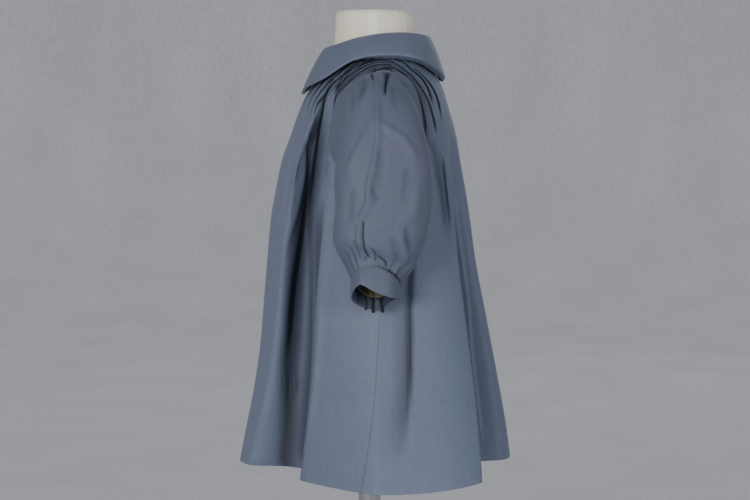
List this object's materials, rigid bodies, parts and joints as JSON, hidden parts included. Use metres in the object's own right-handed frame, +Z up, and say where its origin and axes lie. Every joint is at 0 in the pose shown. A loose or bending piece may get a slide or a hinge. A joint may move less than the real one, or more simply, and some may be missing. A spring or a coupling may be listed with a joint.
{
  "type": "child's smock dress on a limbless dress form",
  "caption": "Short-sleeved child's smock dress with shoulder tucks, flared hem and pointed collar, worn on a limbless dress form with a round-based pole stand.",
  "frame": {"origin": "centre of the underside of the stand's round base", "axes": "+Z up; the dress front faces -Y and the wearer's left side faces +X"},
  "size_m": [0.3782, 0.3, 0.676],
  "materials": {
    "dress_cloth": "soft slubbed silk, low sheen",
    "form_cloth": "matt ivory cotton",
    "stand_chrome": "polished"
  },
  "bodies": {
    "root": {"front_panel": "dress_cloth", "back_panel": "dress_cloth", "sleeve_left": "dress_cloth", "sleeve_right": "dress_cloth", "cuff_left": "dress_cloth", "cuff_right": "dress_cloth", "collar_left": "dress_cloth", "collar_right": "dress_cloth", "form_body": "form_cloth", "stand_flange": "stand_chrome", "stand_pole": "stand_chrome", "stand_hub": "stand_chrome", "stand_base": "stand_chrome"}
  },
  "joints": []
}
